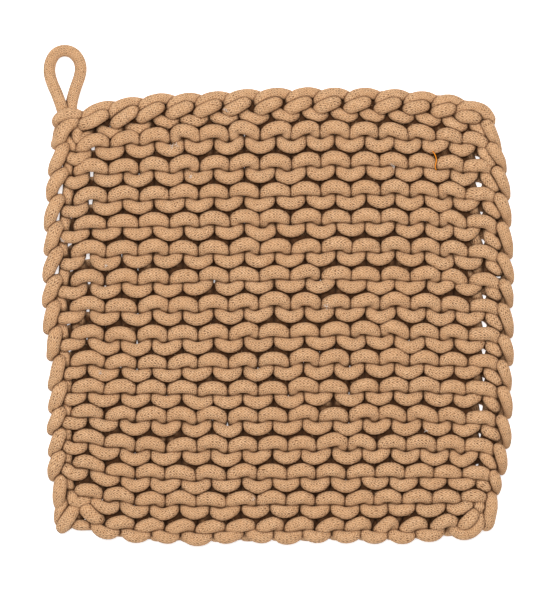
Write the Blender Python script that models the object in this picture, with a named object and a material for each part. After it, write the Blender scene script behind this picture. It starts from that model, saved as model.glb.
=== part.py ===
"""Hand-knitted pot holder: a square of thick cotton cord in garter stitch, with a hanging loop at one corner.

The square lies flat on its back. +X runs along the ridges, +Y runs up the square from the cast-on edge to
the bound-off edge, and +Z points out of its face. The origin is under the middle of the whole outline, loop
and all. Sizes below are in millimetres; the model is in metres.
"""

from collections import namedtuple

import bmesh
import bpy
import numpy as np

MM = 0.001

# The cord's diameter, and heights above the surface of the fabric's ridges, valleys and rim.
CORD = 4.9
THICKNESS = 12.6
FACE_VALLEY = 8.6
BACK_VALLEY = 4.0
RIM_FACE = 9.2
RIM_BACK = 3.4

# The rim slopes down over this width, and its scallops are this deep, one for each stitch along the edge.
RIM_WIDTH = 4.2
SCALLOP = 0.7
STITCHES = 15
CREASE_ANGLE = 35.0

# Where the four heights of each ridge are measured, along X.
STATIONS = (-80.6, -27.1, 24.7, 88.5)

# One row for each ridge of the face, from the bound-off chain down, and one for the cast-on edge. Each gives
# the height (Y) of the ridge's upper line at the four stations, and the X of the left and right edges there.
Ridge = namedtuple("Ridge", "y_left y_inner_left y_inner_right y_right x_left x_right")
RIDGES = (
    Ridge(80.8, 87.5, 88.9, 79.8, -94.6, 90.6),
    Ridge(68.2, 73.1, 74.6, 69.5, -96.7, 95.3),
    Ridge(57.4, 60.0, 61.5, 58.1, -97.9, 98.3),
    Ridge(46.6, 47.8, 49.0, 46.3, -99.1, 100.0),
    Ridge(33.9, 36.0, 37.2, 34.5, -99.8, 100.9),
    Ridge(23.1, 24.6, 25.0, 21.6, -100.3, 101.3),
    Ridge(11.0, 12.3, 13.1, 9.8, -100.7, 101.6),
    Ridge(-0.5, 1.0, 1.0, -1.5, -101.6, 101.3),
    Ridge(-12.5, -12.1, -10.5, -14.0, -101.0, 101.6),
    Ridge(-24.6, -24.3, -23.0, -25.4, -99.9, 101.4),
    Ridge(-35.8, -36.6, -35.6, -36.9, -98.8, 101.4),
    Ridge(-46.8, -47.4, -47.6, -49.4, -99.3, 100.8),
    Ridge(-57.4, -60.3, -59.5, -60.9, -99.1, 100.4),
    Ridge(-69.0, -72.8, -71.6, -73.5, -99.2, 98.8),
    Ridge(-79.0, -83.8, -84.1, -82.6, -99.2, 96.8),
    Ridge(-90.1, -94.8, -95.6, -92.4, -96.0, 94.3),
    Ridge(-102.2, -107.0, -106.4, -101.0, -92.6, 89.6),
)

# The lines across one ridge: how far down it each lies, as a share of its height, and how high it stands, on
# the face and on the back. The back's ridges lie under the face's valleys.
Line = namedtuple("Line", "face_share face_z back_share back_z")
LINES = (
    Line(0.0, FACE_VALLEY, -0.2, 0.0),
    Line(0.25, THICKNESS, 0.2, 0.0),
    Line(0.75, THICKNESS, 0.5, BACK_VALLEY),
)

# The hanging loop's route, from one leg to the other: a teardrop that lies on the surface and rises to the
# corner, where its legs end 0.3 mm from the fabric.
Knot = namedtuple("Knot", "x y z")
LOOP_ROUTE = (
    Knot(-93.5, 79.3, 6.2),
    Knot(-93.8, 82.4, 5.8),
    Knot(-95.6, 88.1, 4.6),
    Knot(-97.3, 93.2, 3.4),
    Knot(-97.6, 97.6, 2.7),
    Knot(-96.2, 101.6, 2.6),
    Knot(-93.6, 104.2, 2.6),
    Knot(-90.9, 105.0, 2.6),
    Knot(-88.1, 104.1, 2.6),
    Knot(-85.6, 101.5, 2.6),
    Knot(-84.4, 97.6, 2.7),
    Knot(-84.9, 93.2, 3.4),
    Knot(-86.7, 88.1, 4.6),
    Knot(-88.1, 82.8, 5.8),
    Knot(-88.3, 80.3, 6.2),
)
LOOP_POINTS = 34

TAN_CORD = (0.60, 0.36, 0.18, 1.0)
TAN_LOOP = (0.62, 0.38, 0.20, 1.0)


def clear_scene():
    """Removes whatever the file opened with."""
    for leftover in list(bpy.data.objects):
        bpy.data.objects.remove(leftover, do_unlink=True)


def cord_material(name, colour):
    """Matt tan cotton."""
    material = bpy.data.materials.new(name)
    material.use_nodes = True
    shader = material.node_tree.nodes["Principled BSDF"]
    shader.inputs["Base Color"].default_value = colour
    shader.inputs["Roughness"].default_value = 0.95
    shader.inputs["Metallic"].default_value = 0.0
    return material


def add_to(collection, piece, material):
    """Links a finished piece into the object's collection and gives it its material."""
    piece.data.materials.append(material)
    collection.objects.link(piece)


def ridge_at(position):
    """The ridge table read between its rows: position 2.25 is a quarter of the way from row 2 to row 3."""
    rows = np.array(RIDGES)
    position = min(max(position, 0.0), len(rows) - 1.0)
    upper = min(int(position), len(rows) - 2)
    share = position - upper
    return Ridge(*(rows[upper] * (1.0 - share) + rows[upper + 1] * share))


def height_at(ridge, x):
    """The Y of a ridge line at x: the cubic through its four measured heights."""
    heights = (ridge.y_left, ridge.y_inner_left, ridge.y_inner_right, ridge.y_right)
    return float(np.polyval(np.polyfit(STATIONS, heights, 3), x))


def lines_down():
    """Every line across the fabric, top to bottom: ridge position and height, on the face and on the back."""
    lines = []
    for number in range(len(RIDGES) - 1):
        for line in LINES:
            lines.append(
                (number + line.face_share, line.face_z, number + line.back_share, line.back_z)
            )
    last = len(RIDGES) - 1.0
    lines[0] = (0.0, RIM_FACE, 0.0, RIM_BACK)
    lines.append((last, RIM_FACE, last, RIM_BACK))
    return lines


def columns_across():
    """Shares of the width where the columns stand: a narrow rim at each side, and two to a stitch."""
    width = max(ridge.x_right - ridge.x_left for ridge in RIDGES)
    rim = RIM_WIDTH / width
    inner = np.linspace(rim, 1.0 - rim, 2 * STITCHES + 1)
    return [0.0, *inner.tolist(), 1.0]


def fabric_point(position, z, across, column, edge):
    """A point of the fabric in metres; the scalloped edges are drawn in at every other column."""
    ridge = ridge_at(position)
    x = ridge.x_left + (ridge.x_right - ridge.x_left) * across
    y = height_at(ridge, x)
    if edge and column % 2:
        y -= SCALLOP * edge
    return (x * MM, y * MM, z * MM)


def side_notch(across, line):
    """How far the side edges are drawn in along X, at the valley between two selvedge stitches."""
    if line % len(LINES) or across not in (0.0, 1.0):
        return 0.0
    return SCALLOP if across == 0.0 else -SCALLOP


def shape_fabric(mesh, back_corners, columns, lines):
    """Moves the two-sided grid's corners, which span -1 to 1, to the fabric's face and back."""
    last_column = len(columns) - 1
    last_line = len(lines) - 1
    for corner in mesh.verts:
        column = round((corner.co.x + 1.0) / 2.0 * last_column)
        number = round((1.0 - corner.co.y) / 2.0 * last_line)
        face_position, face_z, back_position, back_z = lines[number]
        on_face = corner not in back_corners
        position = face_position if on_face else back_position
        z = face_z if on_face else back_z
        if column in (0, last_column):
            z = RIM_FACE if on_face else RIM_BACK
        edge = 1 if number == 0 else -1 if number == last_line else 0
        across = columns[column]
        x, y, z = fabric_point(position, z, across, column, edge)
        corner.co = (x + side_notch(across, number) * MM, y, z)


def knitted_body():
    """The garter stitch square: a grid given a back, then laid along its ridges and its uneven outline."""
    columns = columns_across()
    lines = lines_down()
    mesh = bmesh.new()
    bmesh.ops.create_grid(mesh, x_segments=len(columns) - 1, y_segments=len(lines) - 1, size=1.0)
    back = bmesh.ops.extrude_face_region(mesh, geom=list(mesh.faces), use_keep_orig=True)
    back_corners = {part for part in back["geom"] if isinstance(part, bmesh.types.BMVert)}
    shape_fabric(mesh, back_corners, columns, lines)
    bmesh.ops.recalc_face_normals(mesh, faces=mesh.faces)
    data = bpy.data.meshes.new("knitted_body")
    mesh.to_mesh(data)
    mesh.free()
    data.shade_smooth()
    data.set_sharp_from_angle(angle=np.radians(CREASE_ANGLE))
    return bpy.data.objects.new("knitted_body", data)


def smooth_route(knots, count):
    """Points evenly spread in parameter on the Catmull-Rom curve through the knots."""
    route = np.array(knots)
    route = np.vstack((2.0 * route[0] - route[1], route, 2.0 * route[-1] - route[-2]))
    spread = np.linspace(0.0, len(knots) - 1.0, count)
    span = np.minimum(spread.astype(int), len(knots) - 2)
    t = (spread - span)[:, None]
    before, start, end, after = (route[span + step] for step in range(4))
    return 0.5 * (
        2.0 * start
        + (end - before) * t
        + (2.0 * before - 5.0 * start + 4.0 * end - after) * t**2
        + (3.0 * start - before - 3.0 * end + after) * t**3
    )


def hanging_loop():
    """The loop: a round cord along the teardrop, its legs ending just clear of the corner of the square."""
    curve = bpy.data.curves.new("hanging_loop", "CURVE")
    curve.dimensions = "3D"
    curve.bevel_depth = CORD / 2.0 * MM
    curve.bevel_resolution = 3
    curve.use_fill_caps = True
    spline = curve.splines.new("POLY")
    route = smooth_route(LOOP_ROUTE, LOOP_POINTS) * MM
    spline.points.add(len(route) - 1)
    for point, place in zip(spline.points, route):
        point.co = (*place, 1.0)
    spline.use_smooth = True
    return bpy.data.objects.new("hanging_loop", curve)


def build():
    """Makes the two pieces and puts them in one collection."""
    clear_scene()
    collection = bpy.data.collections.new("pot_holder")
    bpy.context.scene.collection.children.link(collection)
    add_to(collection, knitted_body(), cord_material("knitted_cotton_cord", TAN_CORD))
    add_to(collection, hanging_loop(), cord_material("loop_cotton_cord", TAN_LOOP))


build()
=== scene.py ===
"""The knitted pot holder as it looks: every stitch of its thick cotton cord, on a plain pale floor.

The square is garter stitch. Seen from the face, a ridge is a row of caps (the heads of one course) over a row
of cups (the feet of the next), half a stitch apart, and the back shows the same ridges half a ridge lower.
Places on the fabric are given as (wale, ridge): wale 0 to 14 are the lines between the stitches, left to right,
and ridge 1 to 15 are the upper lines of the ridges, top to bottom. Sizes are in millimetres until they are laid
in a mesh.
"""

from collections import namedtuple

import bpy
import numpy as np
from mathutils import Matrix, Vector


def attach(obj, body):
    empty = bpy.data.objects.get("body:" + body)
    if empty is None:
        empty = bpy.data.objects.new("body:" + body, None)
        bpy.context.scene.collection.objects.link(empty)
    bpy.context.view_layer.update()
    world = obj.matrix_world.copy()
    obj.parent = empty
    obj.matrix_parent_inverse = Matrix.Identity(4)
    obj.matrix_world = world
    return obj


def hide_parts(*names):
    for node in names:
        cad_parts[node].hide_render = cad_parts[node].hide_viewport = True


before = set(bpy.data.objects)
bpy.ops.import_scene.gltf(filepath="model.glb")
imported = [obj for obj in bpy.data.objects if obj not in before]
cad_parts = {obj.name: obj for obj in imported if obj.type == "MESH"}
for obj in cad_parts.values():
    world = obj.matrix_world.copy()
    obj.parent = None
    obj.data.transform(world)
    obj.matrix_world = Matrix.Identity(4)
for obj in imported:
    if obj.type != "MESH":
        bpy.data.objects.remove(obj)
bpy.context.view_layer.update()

MM = 0.001

# The photo's height in pixels, and the millimetres that one pixel shows.
PHOTO_HEIGHT = 600
PIXEL = 0.428

# The cord's width as it lies free, and its height as a share of that. Then its surface: the steps of its route
# from knot to knot, how far apart its rings stand, the corners of a ring, how far a ring may reach towards the
# centre that it bends round, and the size of the ring that closes an end, as a share.
CORD = 4.9
FLATTEN = 0.80
ROUTE_STEPS = 6
RING_STEP = 1.15
RING_SIDES = 20
BEND_REACH = 0.80
END_SHARE = 0.02

# Heights above the ground: the cord's centre line at the back, at the face and halfway through the fabric, and
# the height below which the cord is pressed flat.
Z_BACK = 2.35
Z_FACE = 10.3
Z_MIDDLE = (Z_BACK + Z_FACE) / 2.0
SOLE = 0.35

# The ridges, the stitches across them, the knots set along one stitch, and the seed of all random draws.
RIDGES = 15
WALES = 14
SAMPLES = 22
SEED = 41

# How far apart a stitch's head and feet lie, as a share of a ridge, the swell of the cord where it runs through
# the fabric and how much more it swells on the back, and how much stitches tilt at random.
LOOP_HEIGHT = 1.07
SLIM = 1.03
BACK_SWELL = 0.09
TILT = 0.17

# The two kinds of course. The overhang of a stitch's sides is a share of its width, rounding is the share of
# the third harmonic, and swell is how much wider the cord is at the heads and feet, falling off with the power
# taper. The middle is where on the ridge the course lies, side is 1 if its feet lie at the face and -1 if its
# heads do, plunge is the power of its way between face and back, and fan is how much its stitches tilt towards
# the sides of the square.
Kind = namedtuple("Kind", "overhang rounding swell taper middle side plunge fan")
KINDS = {
    "caps": Kind(0.184, -0.05, 1.175, taper=1.0, middle=0.772, side=-1.0, plunge=1.35, fan=0.25),
    "cups": Kind(0.188, 0.01, 1.085, taper=1.5, middle=0.293, side=1.0, plunge=1.9, fan=-0.075),
}

# How much single stitches differ at random: across, up and down the ridges and in height, and as shares of
# their overhang, reach and swell. The same for the turns at the sides, and for the links of the bound-off
# chain, where x is in wales and reach is the slant.
Stray = namedtuple("Stray", "x ridge z overhang reach swell", defaults=6 * (0.0,))
STITCH_STRAY = Stray(x=0.28, ridge=0.022, z=0.12, overhang=0.07, reach=0.03, swell=0.02)
TURN_STRAY = Stray(x=0.25, ridge=0.03, swell=0.02)
LINK_STRAY = Stray(x=0.02, ridge=0.015, reach=0.12)

# Painted shade: how deep a place lies in these hollows darkens the cord's colour there, and fuzz roots only
# where it lies shallow.
# Hollows between cords, wide valleys and then narrow creases: the squares in which heights are gathered, how
# widely they are blurred, how far below the blurred height a place starts to lie deep and lies fully deep, and
# how much it then counts. Heights are gathered this far out from the origin. Only places inside the fabric
# count: the share of filled squares about them, widely blurred, rises past this start over this much more.
# Empty squares stand far below the ground.
Hollow = namedtuple("Hollow", "cell blur start full share")
HOLLOWS = (
    Hollow(cell=0.8, blur=1.9, start=0.1, full=1.25, share=1.0),
    Hollow(cell=0.5, blur=0.85, start=0.12, full=0.72, share=0.92),
)
GATHERED = 130.0
COVER_BLUR = 2.4
COVER_START = 0.78
COVER_RISE = 0.20
EMPTY = -1000.0

# Where ridge heights are measured, along X, and one row for each ridge's upper line: its height (Y) at those
# five stations, and the X of the left and right edges of the square there.
STATIONS = np.array((-82.7, -54.5, -11.7, 39.7, 88.5))
RIDGE_LINES = np.array((
    (78.9, 82.9, 85.3, 85.9, 80.0, -95.2, 93.6),
    (67.2, 71.4, 74.0, 74.5, 68.2, -96.7, 95.3),
    (56.9, 59.4, 60.6, 61.6, 58.3, -97.9, 98.3),
    (46.2, 47.0, 48.0, 49.2, 46.4, -99.1, 100.0),
    (33.8, 35.2, 36.4, 37.2, 34.8, -99.8, 100.9),
    (23.0, 23.9, 24.3, 25.1, 21.5, -100.3, 101.3),
    (10.9, 11.3, 12.0, 12.7, 9.7, -100.7, 101.6),
    (-0.9, -0.7, 0.7, 1.1, -0.7, -101.6, 101.3),
    (-12.3, -12.9, -12.3, -11.4, -13.6, -101.0, 101.6),
    (-24.4, -25.3, -24.0, -23.2, -25.0, -99.9, 101.4),
    (-35.9, -36.7, -36.4, -35.2, -36.5, -98.8, 101.4),
    (-46.9, -47.7, -47.9, -47.3, -48.3, -99.3, 100.8),
    (-57.6, -60.1, -60.2, -59.4, -61.0, -99.1, 100.4),
    (-68.9, -72.4, -72.6, -71.9, -73.6, -99.2, 98.8),
    (-79.5, -83.6, -84.4, -83.5, -83.0, -99.2, 96.8),
    (-92.0, -95.4, -95.5, -95.3, -92.0, -96.0, 94.3),
    (-101.6, -105.6, -105.8, -105.2, -101.2, -92.6, 89.6),
))

# The X of each line between wales on ridges 1, 8 and 15.
WALE_LEVELS = np.array((1.0, 8.0, 15.0))
WALE_LINES = np.array((
    (-85.3, -88.5, -86.6), (-71.8, -73.9, -73.7), (-58.7, -60.0, -61.1), (-45.9, -47.0, -48.3),
    (-33.5, -33.9, -35.2), (-20.7, -20.7, -22.2), (-7.6, -8.0, -8.9), (5.9, 5.5, 3.3), (18.5, 18.3, 15.9),
    (30.9, 31.6, 28.8), (43.3, 44.2, 41.0), (55.5, 56.8, 52.8), (67.5, 69.9, 65.6), (78.6, 81.9, 77.8),
    (90.6, 95.8, 88.9),
))


# ---------------- places on the fabric


def row_share(rows, position):
    """A table read straight between its rows, and on past its ends by up to a row."""
    position = np.clip(position, -1.0, len(rows))
    upper = np.clip(position.astype(int), 0, len(rows) - 2)
    share = (position - upper)[..., None]
    return rows[upper] * (1.0 - share) + rows[upper + 1] * share


def side_edges(ridge):
    """The X of the square's left and right edges at a ridge position."""
    both = row_share(RIDGE_LINES, ridge)
    return both[..., 5], both[..., 6]


def curve_through(stations, values, place):
    """The curve of the least degree through the values at the stations, read at each place."""
    total = np.zeros_like(place)
    for i, station in enumerate(stations):
        others = np.delete(stations, i)
        weight = np.prod([(place - other) / (station - other) for other in others], axis=0)
        total = total + values[..., i] * weight
    return total


def fabric_y(x, ridge):
    """The Y of a ridge position at x: the quartic curve through the five measured heights."""
    return curve_through(STATIONS, row_share(RIDGE_LINES, ridge), x)


def wale_x(wale, ridge):
    """The X of a wale position: along each row of the table straight between its lines, and between its three
    levels the parabola through them."""
    low = np.clip(np.floor(wale).astype(int), 0, len(WALE_LINES) - 2)
    share = (wale - low)[..., None]
    levels = WALE_LINES[low] * (1.0 - share) + WALE_LINES[low + 1] * share
    return curve_through(WALE_LEVELS, levels, ridge)


def fabric_point(x, ridge, z):
    """Places in millimetres for x, ridge position and height."""
    return np.stack((x, fabric_y(x, ridge), z), axis=-1)


# ---------------- cords


def smooth_route(knots, steps):
    """Points on the smooth cubic curve through the knots, which runs at each knot along the line between its
    neighbours, with the given number of steps to each span."""
    knots = np.asarray(knots, dtype=float)
    ends = (2.0 * knots[:1] - knots[1:2], knots, 2.0 * knots[-1:] - knots[-2:-1])
    knots = np.concatenate(ends)
    spread = np.arange((len(knots) - 3) * steps + 1) / steps
    span = np.minimum(spread.astype(int), len(knots) - 4)
    t = (spread - span)[:, None]
    before, start, end, after = (knots[span + i] for i in range(4))
    bend = 2.0 * before - 5.0 * start + 4.0 * end - after
    twist = 3.0 * start - before - 3.0 * end + after
    return 0.5 * (2.0 * start + (end - before) * t + bend * t**2 + twist * t**3)


def even_route(knots, spacing):
    """The smooth curve through the knots, read at even steps of its length. Columns past the third go along."""
    route = smooth_route(knots, ROUTE_STEPS)
    steps = np.linalg.norm(np.diff(route[:, :3], axis=0), axis=1)
    run = np.concatenate(([0.0], np.cumsum(steps)))
    count = max(int(round(run[-1] / spacing)), 4) + 1
    even = np.linspace(0.0, run[-1], count)
    columns = [np.interp(even, run, route[:, i]) for i in range(route.shape[1])]
    return np.stack(columns, axis=1), even


def carried_frames(path):
    """The tangent and two normals at each ring of a path, the normals carried along without twist. Each step's
    turning is the least rotation from one tangent to the next, the unit matrix plus the skew matrix of their
    cross product plus its square over one plus their dot product. The turnings are multiplied up in doubling
    strides."""
    tangent = np.gradient(path, axis=0)
    tangent /= np.linalg.norm(tangent, axis=1, keepdims=True)
    axis = np.cross(tangent[:-1], tangent[1:])
    cosine = np.sum(tangent[:-1] * tangent[1:], axis=1)
    zero = np.zeros(len(axis))
    skew = np.array((
        (zero, -axis[:, 2], axis[:, 1]),
        (axis[:, 2], zero, -axis[:, 0]),
        (-axis[:, 1], axis[:, 0], zero),
    )).transpose(2, 0, 1)
    turn = np.eye(3) + skew + skew @ skew / (1.0 + cosine)[:, None, None]
    turns = np.concatenate((np.eye(3)[None], turn))
    stride = 1
    while stride < len(turns):
        turns[stride:] = turns[stride:] @ turns[:-stride]
        stride *= 2
    start = np.cross(tangent[0], (0.0, 0.0, 1.0) if abs(tangent[0][2]) < 0.9 else (1.0, 0.0, 0.0))
    start /= np.linalg.norm(start)
    normal = turns @ start
    return tangent, normal, np.cross(tangent, normal)


def cord_surface(path, radius, flatten=FLATTEN):
    """A cord's rings as an array (rings, sides, 3): circles about the path, flattened in height, pressed in on
    the inside of each bend so that no ring reaches past the centre it bends round, and pressed flat on the
    ground: below the height SOLE, heights fall off as an exponential that never reaches zero."""
    tangent, normal, other = carried_frames(path)
    length = np.linalg.norm(np.gradient(path, axis=0), axis=1, keepdims=True)
    curving = np.gradient(tangent, axis=0) / length
    angle = np.linspace(0.0, 2.0 * np.pi, RING_SIDES, endpoint=False)
    out = normal[:, None] * np.cos(angle)[:, None] + other[:, None] * np.sin(angle)[:, None]
    reach = np.sum(out * curving[:, None], axis=2) * radius[:, None]
    press = np.maximum(1.0, reach / BEND_REACH)
    out = out * (radius[:, None] / press)[..., None]
    out[..., 2] *= flatten
    rings = path[:, None] + out
    height = rings[..., 2]
    pressed = SOLE * np.exp(np.minimum(height / SOLE - 1.0, 0.0))
    rings[..., 2] = np.where(height < SOLE, pressed, height)
    return rings


def mesh_of(name, points, faces, uvs=None, material=None, depth=None):
    """A mesh object from whole arrays: corner places in millimetres, an array of faces for each number of
    sides, a UV for each face corner, and how deep each corner lies."""
    mesh = bpy.data.meshes.new(name)
    around = np.concatenate([np.full(len(part), part.shape[1], dtype=np.int32) for part in faces])
    corners = np.concatenate([part.ravel() for part in faces]).astype(np.int32)
    mesh.vertices.add(len(points))
    mesh.vertices.foreach_set("co", (points * MM).astype(np.float32).ravel())
    mesh.loops.add(len(corners))
    mesh.loops.foreach_set("vertex_index", corners)
    mesh.polygons.add(len(around))
    mesh.polygons.foreach_set("loop_start", (np.cumsum(around) - around).astype(np.int32))
    mesh.polygons.foreach_set("loop_total", around)
    mesh.update(calc_edges=True)
    if uvs is not None:
        layer = mesh.uv_layers.new(name="cord")
        layer.data.foreach_set("uv", uvs.astype(np.float32).ravel())
    if depth is not None:
        lying = mesh.attributes.new("depth", "FLOAT", "POINT")
        lying.data.foreach_set("value", depth.astype(np.float32))
    mesh.validate()
    mesh.shade_smooth()
    piece = bpy.data.objects.new(name, mesh)
    bpy.context.scene.collection.objects.link(piece)
    if material is not None:
        mesh.materials.append(material)
    return piece


def cord_mesh(runs):
    """Joins cords, each (rings, run along, depth), into one set of corners, faces, UVs and depths. Each end is
    closed by a last ring drawn in almost to a point and a fan of triangles over it."""
    points, faces, uvs, depths, base = [], [], [], [], 0
    fans, tips = [], []
    spoke = np.arange(1, RING_SIDES - 1)
    for rings, run, depth in runs:
        middles = rings[[0, -1]].mean(axis=1, keepdims=True)
        closing = middles + (rings[[0, -1]] - middles) * END_SHARE
        rings = np.concatenate((closing[:1], rings, closing[1:]))
        run = np.concatenate((run[:1], run, run[-1:]))
        depths.append(np.concatenate((depth[:1], depth, depth[-1:])).ravel())
        count = len(rings)
        first = RING_SIDES * np.arange(count - 1)[:, None]
        side = np.arange(RING_SIDES)[None]
        after = (side + 1) % RING_SIDES
        around = (first + side, first + after, first + RING_SIDES + after, first + RING_SIDES + side)
        quad = np.stack(around, axis=-1)
        here, there = run[:-1, None], run[1:, None]
        around = ((here, side), (here, side + 1), (there, side + 1), (there, side))
        uv = [np.stack(np.broadcast_arrays(u, v / RING_SIDES), axis=-1) for u, v in around]
        points.append(rings.reshape(-1, 3))
        faces.append(quad.reshape(-1, 4) + base)
        uvs.append(np.stack(uv, axis=2).reshape(-1, 2))
        fans.append(base + np.stack((0 * spoke, spoke + 1, spoke), axis=-1))
        fans.append(base + (count - 1) * RING_SIDES + np.stack((0 * spoke, spoke, spoke + 1), axis=-1))
        tips.append(np.repeat(((run[0], 0.5), (run[-1], 0.5)), 3 * len(spoke), axis=0))
        base += count * RING_SIDES
    faces = (np.concatenate(faces), np.concatenate(fans))
    return np.concatenate(points), faces, np.concatenate(uvs + tips), np.concatenate(depths)


def blurred(values, sigma):
    """A grid blurred along one axis and then the other by a bell curve of the given width in cells, cut off at
    two and a half widths."""
    reach = int(np.ceil(2.5 * sigma))
    for axis in (0, 1):
        total = np.zeros_like(values)
        for step in range(-reach, reach + 1):
            total += np.roll(values, step, axis=axis) * np.exp(-((step / sigma) ** 2) / 2.0)
        values = total
    return values


def hollow(points, side, kind):
    """How deep each point inside the fabric lies in the hollows of one of its sides, face (side 1) or back
    (side -1), from 0 to 1: the highest points of each small square, blurred, less the point's own height."""
    half = int(GATHERED / kind.cell)
    cell = np.clip(np.floor(points[:, :2] / kind.cell).astype(int) + half, 0, 2 * half - 1)
    height = np.full((2 * half, 2 * half), EMPTY)
    np.maximum.at(height, (cell[:, 0], cell[:, 1]), side * points[:, 2])
    filled = (height > EMPTY).astype(float)
    sigma = kind.blur / kind.cell
    around = blurred(height * filled, sigma) / np.maximum(blurred(filled, sigma), 1e-6)
    below = around[cell[:, 0], cell[:, 1]] - side * points[:, 2]
    share = np.clip((below - kind.start) / (kind.full - kind.start), 0.0, 1.0)
    cover = blurred(filled, COVER_BLUR / kind.cell)
    cover = (cover / cover.max())[cell[:, 0], cell[:, 1]]
    inside = np.clip((cover - COVER_START) / COVER_RISE, 0.0, 1.0)
    return kind.share * inside * share**2 * (3.0 - 2.0 * share)


def settle_depths(cords):
    """Each cord's allowed depths times how deep its corners lie in the hollows of both sides of the fabric,
    which sets how much painted shade darkens each corner.
    """
    points = np.concatenate([rings.reshape(-1, 3) for rings, _, _ in cords])
    sides = [np.maximum(*(hollow(points, side, kind) for kind in HOLLOWS)) for side in (1.0, -1.0)]
    deep = np.minimum(*sides)
    settled, start = [], 0
    for rings, run, allowed in cords:
        here = deep[start:start + allowed.size].reshape(allowed.shape)
        settled.append((rings, run, allowed * here))
        start += allowed.size
    return settled


# ---------------- the stitches


def eased(values, position):
    """A list of values read between its entries with a cosine ease, so that it is level at each entry."""
    low = np.clip(np.floor(position).astype(int), 0, len(values) - 2)
    share = (1.0 - np.cos(np.pi * np.clip(position - low, 0.0, 1.0))) / 2.0
    return values[low] * (1.0 - share) + values[low + 1] * share


def drawn(number, size):
    """Random draws from the bell curve, with a seed of their own, kept within two widths of its middle."""
    return np.clip(np.random.default_rng(SEED + number).normal(size=size), -2.0, 2.0)


def course(kind, ridge, first=0.0, last=float(WALES)):
    """Knots along one course, from wale position first to last: (x, ridge position, z, swell, depth).

    With t counting stitches, foot to foot, the course runs across as t plus a sine of two turns a stitch, which
    makes its sides overhang, and up and down as a cosine of one turn a stitch with a little of its third
    harmonic, which rounds its heads and feet. Its height is a power of the same cosine, which keeps its sign,
    with the feet at the face for cups and at the back for caps. Its stitches tilt by the cube of how far they
    lie from the middle of the square. Each head and foot then has a shift, tilt, size and height of its own,
    eased into the next."""
    form, stray = KINDS[kind], STITCH_STRAY
    steps = np.arange(round(first * SAMPLES), round(last * SAMPLES) + 1)
    t = steps / SAMPLES
    draws = drawn(10 * ridge + (kind == "cups"), (5, 2 * WALES + 3))
    shift_x, shift_q, tilt, size, lift = (eased(row, 2.0 * t) for row in draws)
    wave = np.cos(2.0 * np.pi * t)
    shape = (wave + form.rounding * np.cos(6.0 * np.pi * t)) / (1.0 + form.rounding)
    across = form.overhang * (1.0 + stray.overhang * size) * np.sin(4.0 * np.pi * t)
    rise = across * (TILT * tilt + form.fan * (2.0 * t / WALES - 1.0) ** 3)
    reach = LOOP_HEIGHT / 2.0 * (1.0 + stray.reach * size)
    q = ridge + form.middle + reach * shape + stray.ridge * shift_q + rise
    plunge = form.side * np.sign(wave) * np.abs(wave) ** form.plunge
    z = Z_MIDDLE + (Z_FACE - Z_BACK) / 2.0 * plunge + stray.z * lift
    x = wale_x(t + across, q) + stray.x * shift_x
    full = form.swell * (1.0 + stray.swell * size + BACK_SWELL * (form.side * wave < 0.0))
    swell = SLIM + (full - SLIM) * np.abs(wave) ** form.taper
    return np.stack((x, q, z, swell, np.ones_like(t)), axis=1)


def laid(knots):
    """Knots given as (x, ridge position, z, swell, depth) turned to places with their swell and depth."""
    return np.column_stack((fabric_point(knots[:, 0], knots[:, 1], knots[:, 2]), knots[:, 3:]))


# The turn at the left edge, from the cups' last foot to the caps' first: in from the edge, down from the
# ridge's upper line, height and swell.
LEFT_TURN = np.array((
    (9.8, 0.81, 9.7, 1.06), (8.8, 0.78, 7.8, 0.96), (8.0, 0.72, 5.4, 0.90), (6.6, 0.64, 3.6, 0.90),
    (4.8, 0.68, 2.5, 0.95), (3.2, 0.88, 2.4, 1.00), (2.6, 1.12, 3.0, 0.95), (2.4, 1.27, 4.6, 0.90),
    (2.4, 1.31, 6.6, 0.92), (2.7, 1.19, 8.6, 1.04), (3.4, 0.97, 10.0, 1.16), (4.6, 0.70, 10.6, 1.22),
    (5.7, 0.48, 10.4, 1.18), (6.6, 0.35, 9.0, 1.06), (7.2, 0.34, 6.8, 0.95), (8.2, 0.48, 5.0, 0.90),
    (8.4, 0.74, 5.0, 0.92), (8.8, 1.00, 6.8, 1.02), (8.9, 1.24, 7.8, 1.00), (9.3, 1.46, 7.2, 0.90),
    (10.4, 1.54, 5.2, 0.90), (11.0, 1.44, 3.4, 0.92),
))

# The turn at the right edge, from the caps' last foot to the cups' first of the next ridge, in the same way.
RIGHT_TURN = np.array((
    (6.6, 1.27, 2.4, 1.00), (5.6, 1.30, 2.5, 1.00), (4.6, 1.18, 3.2, 0.95), (4.8, 0.90, 4.6, 0.88),
    (5.6, 0.60, 6.0, 0.88), (5.9, 0.42, 8.0, 0.92), (5.3, 0.35, 9.9, 1.00), (4.3, 0.46, 10.7, 1.06),
    (3.3, 0.68, 10.3, 1.02), (2.5, 0.88, 9.0, 0.92), (2.1, 1.06, 7.2, 0.78), (1.9, 1.20, 5.0, 0.70),
    (2.2, 1.18, 3.2, 0.76), (3.2, 0.98, 2.4, 0.90), (5.2, 0.84, 2.4, 0.92), (7.4, 0.92, 2.6, 0.95),
    (8.8, 1.15, 3.2, 0.90), (8.8, 1.50, 3.8, 0.90), (7.6, 1.80, 4.6, 0.90), (7.0, 1.95, 6.8, 0.96),
    (7.7, 1.88, 9.0, 1.06),
))

# How many of the right turn's last knots lead into the cord behind the bound-off chain, and the wale position
# at which the cups leave that turn.
LEAD_IN = 6
CUPS_START = 13.9

# How far down its ridge each turn sits, by ridge: the selvedge runs a little out of step near the corners.
LEFT_DRIFT = ((1.0, 2.0, 11.0, 13.0, 15.0), (-0.14, 0.0, 0.0, -0.12, -0.26))
RIGHT_DRIFT = ((-1.0, 0.0, 1.0, 3.0), (0.0, 0.22, 0.06, 0.0))

# How far in from the edge a turn's depth starts to count, over how much it grows, and the least it is.
TURN_DEPTH = (1.0, 5.0, 0.4)
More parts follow.
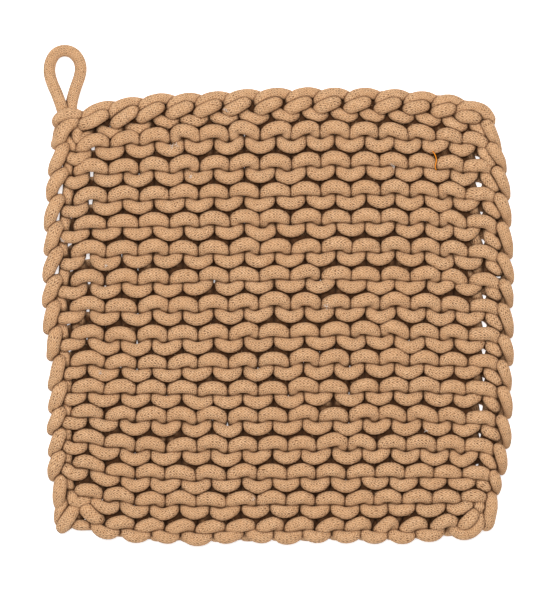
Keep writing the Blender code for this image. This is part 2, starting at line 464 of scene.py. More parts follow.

# Cords given at the corners: how deep they may lie, and their X, Y, height and swell. At the top left,
# the turn beside the first link and the strand that holds the hanging loop down; at the top right, the last
# link's edge strand.
HAND_DEPTH = 0.8
TOP_LEFT_TURN = (
    (-86.1, 71.5, 8.2, 0.95), (-87.8, 74.0, 5.6, 0.90), (-90.4, 74.9, 3.6, 0.90), (-93.4, 71.9, 2.8, 1.00),
    (-95.0, 68.6, 2.8, 1.00), (-95.7, 65.8, 3.6, 1.00), (-95.8, 64.4, 5.8, 1.00), (-95.4, 65.2, 8.4, 1.08),
    (-94.4, 67.3, 10.0, 1.16), (-92.8, 69.5, 10.5, 1.20), (-90.2, 72.5, 10.5, 1.20), (-88.2, 74.3, 9.4, 1.10),
    (-87.6, 74.0, 7.0, 0.95), (-88.9, 71.5, 5.2, 0.90), (-89.8, 68.9, 6.2, 0.95), (-88.6, 66.3, 7.8, 1.00),
    (-87.2, 63.6, 8.0, 0.98), (-86.4, 61.4, 6.2, 0.92), (-85.9, 61.6, 4.0, 0.92),
)
TOP_LEFT_STRAND = (
    (-93.6, 73.0, 4.2, 0.90), (-94.4, 74.3, 6.6, 1.00), (-93.5, 75.5, 9.0, 1.08), (-91.9, 76.5, 10.2, 1.12),
    (-89.6, 77.6, 10.4, 1.12), (-86.8, 78.2, 9.6, 1.08), (-84.0, 78.1, 7.6, 1.00), (-82.5, 77.3, 5.2, 0.90),
)
TOP_RIGHT_STRAND = (
    (85.1, 73.2, 4.2, 0.90), (87.6, 74.0, 4.6, 0.95), (90.2, 73.6, 6.0, 1.00), (91.2, 75.0, 7.8, 1.05),
    (89.7, 77.6, 9.0, 1.08), (87.3, 79.5, 9.4, 1.10), (83.1, 80.5, 9.4, 1.10), (79.5, 79.8, 9.0, 1.06),
    (77.1, 77.9, 7.6, 0.98), (76.5, 76.2, 5.0, 0.90),
)

# At the bottom left, the last selvedge strand, the strand folded over it, the lump beside that and its tail; at
# the bottom right, the cord's curl into the last cup, the last cap and the last selvedge strand.
BOTTOM_LEFT_STRANDS = (
    (
        (-89.6, -87.2, 4.6, 0.95), (-90.6, -88.0, 7.2, 1.05), (-92.0, -90.3, 8.3, 1.10),
        (-93.0, -93.1, 8.1, 1.08), (-93.4, -95.6, 6.8, 1.04), (-93.2, -97.6, 4.8, 1.00),
        (-91.7, -98.2, 3.0, 0.95),
    ),
    (
        (-85.8, -90.5, 6.0, 0.95), (-86.3, -90.7, 8.6, 1.05), (-87.6, -92.7, 10.1, 1.16),
        (-89.7, -95.9, 10.4, 1.20), (-91.5, -98.5, 9.8, 1.18), (-92.4, -99.8, 7.6, 1.05),
        (-91.4, -99.6, 4.8, 0.95), (-89.1, -98.0, 3.4, 0.95),
    ),
    (
        (-85.7, -92.9, 5.0, 0.95), (-84.6, -91.7, 7.6, 1.10), (-82.5, -92.3, 9.4, 1.28),
        (-79.7, -94.2, 10.0, 1.30), (-77.1, -95.8, 9.2, 1.15), (-75.9, -96.9, 6.5, 1.00),
        (-75.9, -97.6, 4.0, 0.90),
    ),
    (
        (-87.8, -97.6, 5.5, 0.95), (-85.5, -98.5, 7.2, 1.00), (-82.7, -98.7, 7.0, 0.95),
        (-80.1, -98.9, 5.0, 0.90),
    ),
)
BOTTOM_RIGHT_CURL = (
    (85.4, -92.6, 4.6, 0.90), (86.4, -93.6, 7.0, 0.98), (86.9, -95.6, 8.8, 1.06), (86.0, -98.5, 9.5, 1.12),
    (83.6, -101.0, 9.7, 1.16), (80.2, -102.2, 9.6, 1.16), (77.2, -101.5, 9.0, 1.12), (75.3, -99.6, 7.4, 1.02),
    (74.4, -97.4, 5.2, 0.94), (73.8, -95.2, 3.6, 0.92),
)
BOTTOM_RIGHT_STRANDS = (
    (
        (78.3, -100.0, 5.2, 0.90), (78.9, -99.4, 8.2, 1.00), (80.4, -98.0, 10.4, 1.16),
        (82.2, -96.1, 11.0, 1.22), (83.7, -94.4, 10.4, 1.16), (84.6, -93.1, 8.0, 1.00),
        (84.9, -92.6, 5.0, 0.90),
    ),
    (
        (90.8, -83.6, 4.6, 0.95), (91.5, -85.6, 7.0, 1.00), (91.8, -88.4, 8.8, 1.10), (91.6, -91.5, 9.6, 1.14),
        (91.0, -94.8, 9.4, 1.12), (90.5, -97.8, 8.2, 1.08), (89.6, -99.1, 5.6, 1.00), (88.5, -98.0, 3.4, 0.95),
        (86.8, -95.9, 2.6, 0.95),
    ),
)

# The hanging loop's cord, from under the corner strand round to the other leg, which the first leg lies over.
LOOP_SWELL = 1.04
LOOP_ROUTE = (
    (-91.1, 76.0, 5.0), (-92.1, 79.2, 6.2), (-93.3, 82.8, 6.0), (-94.8, 86.7, 5.2), (-96.6, 90.7, 4.2),
    (-97.8, 94.4, 3.4), (-98.1, 97.7, 2.8), (-97.3, 101.2, 2.6), (-95.1, 104.2, 2.6), (-91.5, 105.3, 2.6),
    (-87.9, 104.2, 2.6), (-85.5, 101.3, 2.6), (-84.6, 97.7, 2.8), (-85.2, 93.8, 3.2), (-86.6, 89.7, 3.7),
    (-87.8, 85.6, 4.2), (-88.5, 82.2, 4.6), (-88.8, 79.2, 4.6), (-88.8, 76.2, 4.2),
)


def set_by_hand(knots):
    """Listed knots with their depth."""
    return np.column_stack((knots, np.full(len(knots), HAND_DEPTH)))


def edge_turn(table, ridge, side):
    """A turn's table set beside the square's left (side -1) or right (side 1) edge at one ridge, a little
    shifted and swelled at random."""
    draws = drawn(1000 * (side + 2) + ridge, 3)
    drift = np.interp(ridge, *(LEFT_DRIFT if side < 0 else RIGHT_DRIFT))
    lie = ridge + table[:, 1] + drift + TURN_STRAY.ridge * draws[0]
    left, right = side_edges(lie)
    inward = table[:, 0] + TURN_STRAY.x * draws[1]
    x = left + inward if side < 0 else right - inward
    start, rise, least = TURN_DEPTH
    depth = np.clip((inward - start) / rise, least, 1.0)
    swell = table[:, 3] * (1.0 + TURN_STRAY.swell * draws[2])
    return np.stack((x, lie, table[:, 2], swell, depth), axis=1)


def squashed(knots, from_ridge, share, z_low, z_high):
    """A course with one part drawn in towards a ridge position, to a share of its reach: the part below it, or
    above it where the share is below zero. Its height is kept in a band."""
    reach = knots[:, 1] - from_ridge
    knots = knots.copy()
    knots[:, 1] = from_ridge + np.where(reach * share > 0.0, reach * abs(share), reach)
    knots[:, 2] = np.clip(knots[:, 2], z_low, z_high)
    return knots


def ridge_cord(ridge):
    """The cord of one ridge: the turn up from the ridge above, its cups from right to left, the turn at the
    left, and its caps from left to right."""
    lead = laid(edge_turn(RIGHT_TURN, ridge - 1, 1))
    cups = laid(course("cups", ridge, last=CUPS_START))[::-1]
    turn = laid(edge_turn(LEFT_TURN, ridge, -1))
    caps = laid(course("caps", ridge))
    return swept(np.concatenate((lead, cups, turn, caps)))


def top_cord():
    """The cord behind the bound-off chain. Its first cups sit lower and deeper, and the others lie further left
    and lean by a sine of one turn a stitch. Their heads are drawn in to the edge, and the caps lie low."""
    lead = laid(edge_turn(RIGHT_TURN[-LEAD_IN:], -1, 1))
    cups = course("cups", 0, last=CUPS_START)
    t = np.linspace(0.0, CUPS_START, len(cups))
    leaning = np.interp(t, (1.0, 4.0), (0.0, 1.0))
    sitting = np.interp(t, (1.5, 3.5), (1.0, 0.0))
    cups[:, 0] -= 2.4 * leaning
    cups[:, 1] += 0.11 * leaning * np.sin(2.0 * np.pi * t) + 0.20 * sitting
    cups[:, 2] -= 1.1 + 0.9 * sitting
    cups = laid(squashed(cups, from_ridge=0.45, share=-0.55, z_low=3.4, z_high=Z_FACE))[::-1]
    caps = laid(squashed(course("caps", 0), from_ridge=0.60, share=-0.5, z_low=0.0, z_high=4.8))
    return swept(np.concatenate((lead, cups, set_by_hand(TOP_LEFT_TURN), caps)))


# The last ridge: the wale positions between which its cups run and how far right they are shifted along their
# row; those of its caps, the edge past which their feet are drawn in, and the share of reach and the greatest
# swell that are left there; and those of the cast-on edge's strand, with its ridge position, height and swell.
LAST_CUPS = (0.6, 12.45)
LAST_SHIFT = ((1.5, 5.0, 11.0, 12.4), (0.0, 1.5, 1.2, 0.3))
LAST_CAPS = (0.98, 13.02)
LAST_EDGE = 15.62
LAST_SQUASH = 0.22
LAST_SWELL = 1.02
CAST_ON = (0.95, 12.9)
CAST_ON_LIE = (15.77, 4.2, 0.76)


def last_cups():
    """The last ridge's cups, shifted along their row, from the cord's curl at the right."""
    cups = course("cups", RIDGES, *LAST_CUPS)
    cups[:, 0] += np.interp(np.linspace(*LAST_CUPS, len(cups)), *LAST_SHIFT)
    return swept(np.concatenate((set_by_hand(BOTTOM_RIGHT_CURL), laid(cups)[::-1])))


def last_caps():
    """The last ridge's caps, a little lower and tilted by a sine of two turns a stitch, their feet drawn in to
    the edge of the square."""
    caps = course("caps", RIDGES, *LAST_CAPS)
    t = np.linspace(*LAST_CAPS, len(caps))
    caps[:, 1] += 0.06 - 0.07 * np.sin(4.0 * np.pi * t)
    caps = squashed(caps, LAST_EDGE, LAST_SQUASH, 0.0, Z_FACE)
    caps[:, 3] = np.where(caps[:, 1] > LAST_EDGE, np.minimum(caps[:, 3], LAST_SWELL), caps[:, 3])
    return swept(laid(caps))


def cast_on_strand():
    """The strand of the cast-on edge, behind the last cups and caps: straight along the wales, with a slight
    sine down the fabric and another in height."""
    t = np.linspace(*CAST_ON, 120)
    lie, z, swell = (np.full_like(t, value) for value in CAST_ON_LIE)
    lie = lie + 0.012 * np.sin(2.0 * np.pi * t)
    z = z + 0.3 * np.sin(4.4 * t)
    return swept(laid(np.stack((wale_x(t, lie), lie, z, swell, np.ones_like(t)), axis=1)))


# Small gaps where the cords have parted and the ground shows through: wale, ridge position and how far the
# cords beside them are pushed, in millimetres, or pulled where it is below zero and a gap is closed. A push is
# greatest at its reach from the gap. Of a wide one, pushed more than this, strands deep in the fabric take the
# first share and those on its face the second, with the change between the two heights.
PARTING_REACH = 2.5
WIDE = 1.0
WIDE_SHARES = (1.25, 0.55)
WIDE_HEIGHTS = (6.5, 9.0)
PARTINGS = np.array((
    (13.39, 1.97, 1.6), (13.40, 2.92, 1.5), (13.38, 3.92, 1.3), (13.33, 4.87, 1.8), (13.34, 5.93, 1.5),
    (13.34, 6.90, 1.8), (13.34, 7.95, 1.8), (13.33, 8.92, 1.5), (13.33, 10.00, 1.4), (13.34, 11.05, 1.6),
    (13.33, 11.97, 1.4), (13.36, 12.88, 1.3), (12.24, 1.95, 0.9), (5.72, 0.54, 0.7), (0.53, 1.53, 0.8),
    (0.45, 2.54, 0.8), (0.45, 3.52, 0.6), (0.45, 5.67, 0.8), (0.47, 6.67, 0.5), (0.48, 7.71, 0.6),
    (-0.41, 2.99, 0.6), (-0.40, 3.90, 0.5), (-0.48, 5.95, 0.5), (13.92, 6.02, 1.2), (12.99, 6.18, 0.7),
    (12.30, 6.93, 0.8), (11.25, 6.97, 0.5), (9.26, 6.99, 0.5), (7.08, 15.35, 0.4), (8.10, 15.35, 0.5),
    (10.07, 15.28, 0.9), (11.09, 15.23, 0.9), (12.04, 15.26, 0.6), (0.51, 14.63, -1.6), (0.00, 0.34, -1.8),
    (-0.48, 0.95, -1.4), (-0.45, 13.94, -0.6), (-0.35, 12.90, -0.6), (-0.36, 9.05, -0.9), (-0.29, 10.00, -0.4),
    (-0.29, 11.00, -0.4), (-0.34, 11.85, -0.5), (-0.46, 8.00, -0.5), (-0.45, 7.00, -0.5), (-0.46, 5.05, -0.5),
))


def parted(places):
    """How far places are pushed away from the partings, across the fabric: with r the distance from a parting
    over its reach, the push is r times the exponential of half of one less r squared, greatest where r is 1."""
    wale, lie, push = PARTINGS.T
    gaps = fabric_point(wale_x(wale, lie), lie, np.zeros_like(lie))
    away = (places[:, None, :2] - gaps[None, :, :2]) / PARTING_REACH
    far = np.sum(away**2, axis=2)
    taken = np.interp(places[:, 2], WIDE_HEIGHTS, WIDE_SHARES)[:, None]
    push = push * np.where(push > WIDE, taken, 1.0)
    return np.sum(away * (np.exp((1.0 - far) / 2.0) * push)[..., None], axis=1)


def swept(knots):
    """A cord through knots given as places, swell and depth: its rings, the run along it, and for each corner
    the depth that its knots allow it."""
    route, run = even_route(knots, RING_STEP)
    route[:, :2] += parted(route)
    rings = cord_surface(route[:, :3], CORD / 2.0 * route[:, 3])
    return rings, run, np.repeat(route[:, 4:5], RING_SIDES, axis=1)


# The fuzz: how many fibres, the greatest depth and least height at which they root and how far under the
# surface, how far they lean off its normal, and their lengths and radius.
FIBRES = 9000
ROOT_DEPTH = 0.15
ROOT_HEIGHT = 2.0
ROOTED = 0.1
LEAN = 0.7
FIBRE_LENGTHS = (0.4, 1.3)
FIBRE_RADIUS = 0.035

# How far a fibre bends aside, as a share of its length, how slim it is halfway, and how low it may lie.
FIBRE_BEND = 0.6
FIBRE_TAPER = 0.8
FIBRE_LOW = 0.05

# Lint and a stray thread caught on the face: X, Y and height. Then the strands at each place of the lint, how
# far they spread, how much of their ways out and of their spread counts along each axis, their lengths and
# radius; and the thread's radius and how far apart its rings stand.
LINT = (
    (-45.0, 63.4, 13.0), (-43.4, 64.0, 13.0), (-92.0, 23.2, 12.6), (-73.2, 12.3, 13.0), (-75.6, -33.0, 13.0),
    (-37.1, 50.4, 13.0), (49.3, 55.0, 13.0), (-21.8, 79.0, 13.0), (20.9, -4.7, 13.0), (63.5, -58.0, 13.0),
    (-10.2, -86.9, 13.0),
)
STRAY_THREAD = np.array((
    (66.3, 61.6, 11.6), (67.0, 60.6, 12.8), (67.6, 59.2, 13.6), (67.9, 57.6, 13.8), (67.6, 55.9, 13.8),
    (67.4, 54.6, 13.6), (67.9, 53.4, 12.8),
))
LINT_STRANDS = 9
LINT_SPREAD = 0.35
LINT_FLATNESS = ((1.0, 1.0, 0.35), (1.0, 1.0, 0.30))
LINT_LENGTHS = (0.5, 1.2)
LINT_RADIUS = 0.09
THREAD_RADIUS = 0.2
THREAD_STEP = 0.5


def fibre_mesh(roots, away, lengths, radius, rng):
    """Short tapered fibres, three-sided and closed. Each runs from its root along its way out, bends aside as
    the square of the share run, and ends in a point."""
    side = np.cross(away, rng.normal(size=away.shape))
    side /= np.linalg.norm(side, axis=1, keepdims=True)
    other = np.cross(away, side)
    bend = rng.normal(0.0, FIBRE_BEND, (len(roots), 1)) * side
    bend = bend + rng.normal(0.0, FIBRE_BEND, (len(roots), 1)) * other
    lengths = lengths[:, None]
    middle = roots + lengths * (0.5 * away + 0.25 * bend)
    tip = roots + lengths * (away + bend)
    angle = (np.arange(3) * 2.0 * np.pi / 3.0)[:, None]
    ring = radius * (np.cos(angle) * side[:, None] + np.sin(angle) * other[:, None])
    points = np.concatenate((roots[:, None] + ring, middle[:, None] + FIBRE_TAPER * ring, tip[:, None]), axis=1)
    points[..., 2] = np.maximum(points[..., 2], FIBRE_LOW)
    quads = np.array(((0, 1, 4, 3), (1, 2, 5, 4), (2, 0, 3, 5)))
    spikes = np.array(((3, 4, 6), (4, 5, 6), (5, 3, 6), (0, 2, 1)))
    start = 7 * np.arange(len(roots))[:, None, None]
    return points.reshape(-1, 3), ((start + quads).reshape(-1, 4), (start + spikes).reshape(-1, 3))


def loose_fibres(cords):
    """Fuzz on the cords: fibres rooted at random on the open part of their surface, leaning off its normal."""
    rng = np.random.default_rng(SEED + 9000)
    points = np.concatenate([rings.reshape(-1, 3) for rings, _, _ in cords])
    centres = np.concatenate([np.repeat(rings.mean(axis=1), RING_SIDES, axis=0) for rings, _, _ in cords])
    depth = np.concatenate([depth.ravel() for _, _, depth in cords])
    chosen = rng.choice(np.flatnonzero((depth < ROOT_DEPTH) & (points[:, 2] > ROOT_HEIGHT)), FIBRES)
    away = points[chosen] - centres[chosen]
    away /= np.linalg.norm(away, axis=1, keepdims=True)
    lean = away + LEAN * rng.normal(size=away.shape)
    lean /= np.linalg.norm(lean, axis=1, keepdims=True)
    lengths = rng.uniform(*FIBRE_LENGTHS, FIBRES)
    return fibre_mesh(points[chosen] - ROOTED * away, lean, lengths, FIBRE_RADIUS, rng)


def small_pieces(cords):
    """What lies on the cords: their own loose fibres, white lint, and one stray orange thread."""
    rng = np.random.default_rng(SEED + 9100)
    fuzz = loose_fibres(cords)
    middle = np.repeat(np.array(LINT), LINT_STRANDS, axis=0)
    lean = rng.normal(size=middle.shape) * LINT_FLATNESS[0]
    lean /= np.linalg.norm(lean, axis=1, keepdims=True)
    roots = middle + rng.normal(0.0, LINT_SPREAD, middle.shape) * LINT_FLATNESS[1]
    lint = fibre_mesh(roots, lean, rng.uniform(*LINT_LENGTHS, len(roots)), LINT_RADIUS, rng)
    path, run = even_route(STRAY_THREAD, THREAD_STEP)
    rings = cord_surface(path, np.full(len(path), THREAD_RADIUS), flatten=1.0)
    points, faces, _, _ = cord_mesh([(rings, run, np.zeros_like(rings[..., 0]))])
    return (
        ("loose_fibres", fuzz, fluff_material("cotton_fuzz", linear(214, 178, 140))),
        ("white_lint", lint, fluff_material("white_lint", linear(240, 234, 226))),
        ("stray_thread", (points, faces), fluff_material("orange_thread", linear(232, 138, 26))),
    )


# The links of the bound-off chain, read against the link's number: how far past its wale line, as a share of a
# stitch, its face strand's middle lies, at which ridge position, how far past the wale line its edge strand
# starts, and how much its face strand slants.
LINK_NUMBERS = (0.0, 1.0, 2.0, 4.0, 8.0, 10.0, 12.0, 13.0)
LINK_SHIFT = (0.45, 0.46, 0.31, 0.26, 0.25, 0.30, 0.35, 0.30)
LINK_LIE = (0.45, 0.49, 0.42, 0.43, 0.43, 0.41, 0.39, 0.46)
LINK_START = (0.18, 0.04, 0.02, 0.00, -0.08, 0.03, 0.10, 0.18)
LINK_SLANT = (1.25, 1.35, 1.3, 1.2, 1.2, 1.0, 0.8, 0.3)

# One link from its face strand to its edge strand: wale and ridge offsets, height and swell. The knots of the
# first are set from the middle of the face strand and those of the second from the wale line.
LINK_FACE = np.array((
    (-0.26, 0.13, 4.6, 0.88), (-0.30, 0.12, 7.8, 0.98), (-0.22, 0.085, 10.1, 1.12), (0.00, 0.00, 10.8, 1.17),
    (0.24, -0.09, 10.3, 1.12), (0.34, -0.12, 8.2, 1.00), (0.30, -0.10, 5.0, 0.88),
))
LINK_EDGE = np.array((
    (0.95, 0.30, 3.2, 0.88), (1.08, 0.16, 4.6, 0.90), (1.02, 0.05, 6.6, 0.94), (0.86, -0.01, 7.6, 0.98),
    (0.66, -0.04, 8.3, 1.02), (0.42, -0.01, 8.8, 1.06), (0.20, 0.08, 9.2, 1.12), (0.04, 0.22, 8.4, 1.06),
    (0.00, 0.36, 5.4, 0.90),
))


def chain_link(number):
    """One link of the bound-off chain: a hairpin whose face strand lies over its edge strand. The last link's
    edge strand is given as a list of knots."""
    draws = drawn(5000 + number, 4)
    face, edge = LINK_FACE.copy(), LINK_EDGE.copy()
    face[:, 0] += number + np.interp(number, LINK_NUMBERS, LINK_SHIFT) + LINK_STRAY.x * draws[0]
    slant = np.interp(number, LINK_NUMBERS, LINK_SLANT) * (1.0 + LINK_STRAY.reach * draws[1])
    face[:, 1] = face[:, 1] * slant + np.interp(number, LINK_NUMBERS, LINK_LIE)
    edge[:, 0] += number + np.interp(number, LINK_NUMBERS, LINK_START) + LINK_STRAY.x * draws[2]
    edge[:, 1] += LINK_STRAY.ridge * draws[3]
    knots = np.concatenate((face, edge))
    x = wale_x(knots[:, 0], knots[:, 1])
    knots = laid(np.column_stack((x, knots[:, 1:], np.ones(len(knots)))))
    if number == WALES - 1:
        knots = np.concatenate((knots[:len(face)], set_by_hand(TOP_RIGHT_STRAND)))
    return swept(knots)


# ---------------- materials


def linear(red, green, blue):
    """A colour given from 0 to 255, turned to the linear values that a shader takes."""
    share = np.array((red, green, blue)) / 255.0
    value = np.where(share <= 0.04045, share / 12.92, ((share + 0.055) / 1.055) ** 2.4)
    return (*value.tolist(), 1.0)


class Wiring:
    """Short ways to add and join the nodes of one material."""

    def __init__(self, name):
        self.material = bpy.data.materials.new(name)
        self.material.use_nodes = True
        self.tree = self.material.node_tree
        self.shader = self.tree.nodes["Principled BSDF"]

    def node(self, kind, inputs=(), **settings):
        """The outputs of a new node with these settings, each input joined to an output or set to a value."""
        node = self.tree.nodes.new(kind)
        for name, value in settings.items():
            setattr(node, name, value)
        for name, value in dict(inputs).items():
            self.put(node.inputs[name], value)
        return node.outputs

    def put(self, socket, value):
        """Joins an output to a socket, or sets the socket's own value."""
        if isinstance(value, bpy.types.NodeSocket):
            self.tree.links.new(value, socket)
        else:
            socket.default_value = value

    def shaded(self, **values):
        """Gives the shader its values, named with underscores for spaces, and returns the material."""
        for name, value in values.items():
            self.put(self.shader.inputs[name.replace("_", " ")], value)
        return self.material

    def math(self, operation, *values):
        """One step of arithmetic."""
        return self.node("ShaderNodeMath", enumerate(values), operation=operation)[0]

    def noise(self, vector, scale, detail=2.0, roughness=0.5):
        """Soft noise, from 0 to 1."""
        inputs = {"Vector": vector, "Scale": scale, "Detail": detail, "Roughness": roughness}
        return self.node("ShaderNodeTexNoise", inputs)["Fac"]

    def mix(self, share, first, second):
        """One colour mixed into another."""
        inputs = {"Factor": share, "A": first, "B": second}
        return self.node("ShaderNodeMix", inputs, data_type="RGBA")["Result"]

    def closeness(self, reach):
        """How open a place is to its surroundings within a reach in metres: 1 where nothing is near."""
        return self.node("ShaderNodeAmbientOcclusion", {"Distance": reach}, samples=4)["AO"]

    def remap(self, value, low, high, to_low=0.0, to_high=1.0):
        """A value's range carried to another, smoothly and kept inside it."""
        inputs = {"Value": value, "From Min": low, "From Max": high, "To Min": to_low, "To Max": to_high}
        return self.node("ShaderNodeMapRange", inputs, interpolation_type="SMOOTHSTEP")["Result"]

    def place(self):
        """The place on the object, in metres."""
        return self.node("ShaderNodeTexCoord")["Object"]


# The cord's own finely knitted tube: columns round it, and the length of one of its stitches in millimetres.
COLUMNS = 7
STITCH = 1.10


def cotton_cord(name):
    """Tan cotton cord, itself a fine knitted tube. Columns of V stitches run along it: with v round the cord
    and u along it, the strands are a cosine of u over the stitch length, set back by how far v is from its
    column's middle. Painted shade makes the grooves between strands and columns darker, and the small pits
    where they meet darkest. More painted shade darkens the cord where other cords lie near, in the creases
    where cords meet, and in the hollows deep in the fabric."""
    w = Wiring(name)
    uv = w.node("ShaderNodeUVMap", uv_map="cord")["UV"]
    along, around, _ = w.node("ShaderNodeSeparateXYZ", {0: uv})
    # The depth attribute: how deep the place lies in the hollows of the fabric, which darkens it below as
    # painted shade.
    deep = w.node("ShaderNodeAttribute", attribute_name="depth")["Fac"]
    place = w.place()

    stir = w.math("SUBTRACT", w.noise(place, 700.0, 1.0), 0.5)
    sway = w.math("SUBTRACT", w.noise(place, 160.0, 1.0), 0.5)
    column = w.math("ADD", w.math("MULTIPLY", around, float(COLUMNS)), w.math("MULTIPLY", stir, 0.30))
    column = w.math("MULTIPLY_ADD", along, 0.030, column)
    aside = w.math("MULTIPLY", w.math("ABSOLUTE", w.math("SUBTRACT", w.math("FRACT", column), 0.5)), 2.0)
    phase = w.math("ADD", w.math("DIVIDE", along, STITCH), w.math("MULTIPLY", aside, 1.30))
    phase = w.math("ADD", phase, w.math("MULTIPLY_ADD", stir, 0.7, w.math("MULTIPLY", sway, 1.5)))
    strand = w.math("MULTIPLY_ADD", w.math("COSINE", w.math("MULTIPLY", phase, 2.0 * np.pi)), 0.5, 0.5)
    seam = w.math("MAXIMUM", w.remap(aside, 0.72, 1.0), w.remap(aside, 0.26, 0.0))
    # Painted shade in the grooves between the strands.
    groove_shade = w.remap(strand, 0.75, 0.0)
    fibre = w.noise(place, 5200.0, 3.0, 0.65)
    patch = w.noise(place, 60.0, 3.0)
    speckle = w.noise(place, 1500.0, 2.0, 0.6)
    open_pit = w.remap(w.noise(place, 420.0, 1.0), 0.40, 0.60, 0.15, 1.0)
    # Painted shade in the small pits where strands and columns meet; the same pits are also sunk in the bump.
    pit = w.math("MULTIPLY", w.remap(strand, 0.62, 0.16), w.math("MULTIPLY_ADD", seam, 0.85, 0.15))
    pit = w.math("MULTIPLY", pit, open_pit)

    # Painted shade from the cords' closeness: darker where another cord lies within 2.6 mm, and darker still in
    # the creases within 0.9 mm where cords meet.
    shade = w.remap(w.closeness(0.0026), 0.25, 0.85, 1.0, 0.0)
    crease_shade = w.remap(w.closeness(0.0009), 0.55, 0.95, 1.0, 0.0)

    colour = w.mix(w.remap(speckle, 0.30, 0.70), linear(208, 162, 118), linear(230, 191, 151))
    # Tints over the cotton's own two tans: painted shade in the grooves and pits of the fine knit, the cotton's
    # own uneven patches, then painted shade on the cords near others, in their creases and in the hollows deep
    # in the fabric.
    tints = (
        (w.math("MULTIPLY", groove_shade, 0.64), linear(158, 106, 66)),
        (pit, linear(76, 38, 17)),
        (w.remap(patch, 0.35, 0.65, 0.0, 0.22), linear(198, 148, 104)),
        (w.math("MULTIPLY", shade, 0.52), linear(108, 58, 22)),
        (w.math("MULTIPLY", crease_shade, 0.74), linear(72, 35, 11)),
        (w.math("MULTIPLY", deep, 0.95), linear(56, 27, 5)),
    )
    for share, tint in tints:
        colour = w.mix(share, colour, tint)

    height = w.math("SUBTRACT", w.math("MULTIPLY", strand, 0.7), w.math("MULTIPLY", seam, 0.5))
    height = w.math("SUBTRACT", height, w.math("MULTIPLY", pit, 0.8))
    height = w.math("ADD", height, w.math("MULTIPLY", fibre, 0.9))
    bump = w.node("ShaderNodeBump", {"Strength": 0.80, "Distance": 0.00030, "Height": height})["Normal"]
    return w.shaded(
        Base_Color=colour, Roughness=w.remap(fibre, 0.2, 0.8, 0.82, 1.0), Specular_IOR_Level=0.12, Normal=bump,
        Sheen_Weight=0.06, Sheen_Roughness=0.6, Sheen_Tint=linear(235, 205, 165),
    )


def fluff_material(name, colour):
    """Loose fibres of one colour, a little lighter in patches."""
    w = Wiring(name)
    pale = tuple(min(1.0, part * 1.15) for part in colour[:3]) + (1.0,)
    patched = w.mix(w.remap(w.noise(w.place(), 900.0), 0.35, 0.65), colour, pale)
    return w.shaded(Base_Color=patched, Roughness=1.0, Specular_IOR_Level=0.2)


def floor_material():
    """The pale floor: matt paper with the faintest grain."""
    w = Wiring("floor_paper")
    return w.shaded(
        Base_Color=(0.82, 0.82, 0.82, 1.0), Roughness=w.remap(w.noise(w.place(), 300.0), 0.3, 0.7, 0.88, 0.96),
        Specular_IOR_Level=0.1, Emission_Color=(1.0, 1.0, 1.0, 1.0), Emission_Strength=0.62,
    )


# ---------------- the scene

# The floor's half width and height, in millimetres, and the camera's height, in metres, and place across the
# floor, in the photo's pixels.
FLOOR_HALF = 12000.0
FLOOR_Z = -0.05
CAMERA_HEIGHT = 1.25
CAMERA_ASIDE = (-4.75, -5.0)


def add_floor():
    """A plain pale floor."""
    around = FLOOR_HALF * np.array(((-1.0, -1.0), (1.0, -1.0), (1.0, 1.0), (-1.0, 1.0)))
    corners = np.column_stack((around, np.full(4, FLOOR_Z)))
    floor = mesh_of("floor", corners, (np.array(((0, 1, 2, 3),)),), material=floor_material())


def add_light(name, place, size, power):
    """A square soft light at a place in metres, turned to the origin."""
    light = bpy.data.lights.new(name, "AREA")
    light.size = size
    light.energy = power
    lamp = bpy.data.objects.new(name, light)
    lamp.location = place
    direction = -np.array(place) / np.linalg.norm(place)
    lamp.rotation_euler = Vector(direction).to_track_quat("-Z", "Y").to_euler()
    bpy.context.scene.collection.objects.link(lamp)


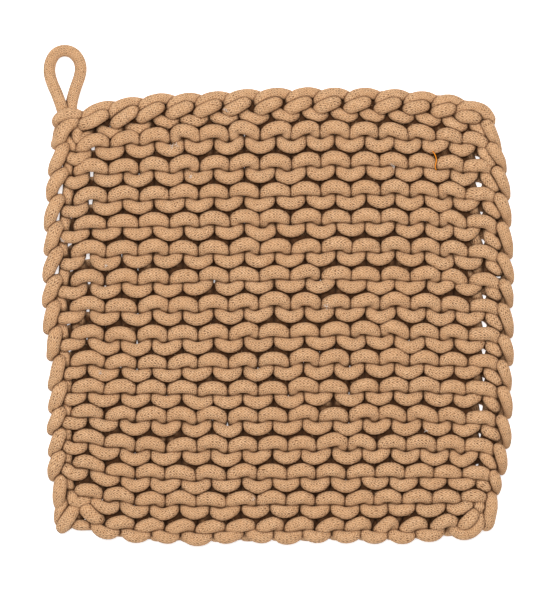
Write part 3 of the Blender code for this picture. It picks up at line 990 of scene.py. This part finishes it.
def add_camera():
    """The camera straight above, with the photo's height in view at the height of the cords' face."""
    camera = bpy.data.cameras.new("camera")
    camera.sensor_width = 36.0
    camera.lens = camera.sensor_width * (CAMERA_HEIGHT - Z_FACE * MM) / (PHOTO_HEIGHT * PIXEL * MM)
    camera.clip_start = 0.05
    camera.clip_end = 20.0
    body = bpy.data.objects.new("camera", camera)
    body.location = (*(pixels * PIXEL * MM for pixels in CAMERA_ASIDE), CAMERA_HEIGHT)
    bpy.context.scene.collection.objects.link(body)
    bpy.context.scene.camera = body


def main():
    """Sets up the light, the camera and the floor, then makes each piece and ties it to the frame."""
    world = bpy.data.worlds.new("studio")
    bpy.context.scene.world = world
    world.use_nodes = True
    background = world.node_tree.nodes["Background"]
    background.inputs["Color"].default_value = (1.0, 1.0, 1.0, 1.0)
    background.inputs["Strength"].default_value = 0.30
    bpy.context.scene.view_settings.view_transform = "Standard"
    add_camera()
    add_floor()
    add_light("overhead", (-0.08, 0.30, 1.6), 0.6, 30.0)
    material = cotton_cord("cotton_cord_knit")
    groups = {f"ridge_{ridge:02d}": [ridge_cord(ridge)] for ridge in range(1, RIDGES)}
    groups[f"ridge_{RIDGES:02d}"] = [last_cups(), last_caps(), cast_on_strand()]
    groups["bound_off_edge"] = [top_cord()] + [chain_link(number) for number in range(WALES)]
    groups["corner_top_left"] = [swept(set_by_hand(TOP_LEFT_STRAND))]
    groups["corner_bottom_left"] = [swept(set_by_hand(knots)) for knots in BOTTOM_LEFT_STRANDS]
    groups["corner_bottom_right"] = [swept(set_by_hand(knots)) for knots in BOTTOM_RIGHT_STRANDS]
    settled = settle_depths([cord for cords in groups.values() for cord in cords])
    start = 0
    for name, cords in groups.items():
        points, faces, uvs, depth = cord_mesh(settled[start:start + len(cords)])
        start += len(cords)
        piece = mesh_of(name, points, faces, uvs, material, depth)
        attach(piece, "root")
        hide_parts("knitted_body")
    for name, (points, faces), fluff in small_pieces(settled):
        piece = mesh_of(name, points, faces, material=fluff)
        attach(piece, "root")
        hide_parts("knitted_body")
    rings, run, depth = swept(np.array([(*knot, LOOP_SWELL, 0.0) for knot in LOOP_ROUTE]))
    points, faces, uvs, depth = cord_mesh([(rings, run, depth)])
    piece = mesh_of("hanging_loop_cord", points, faces, uvs, material, depth)
    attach(piece, "root")
    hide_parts("hanging_loop")


main()
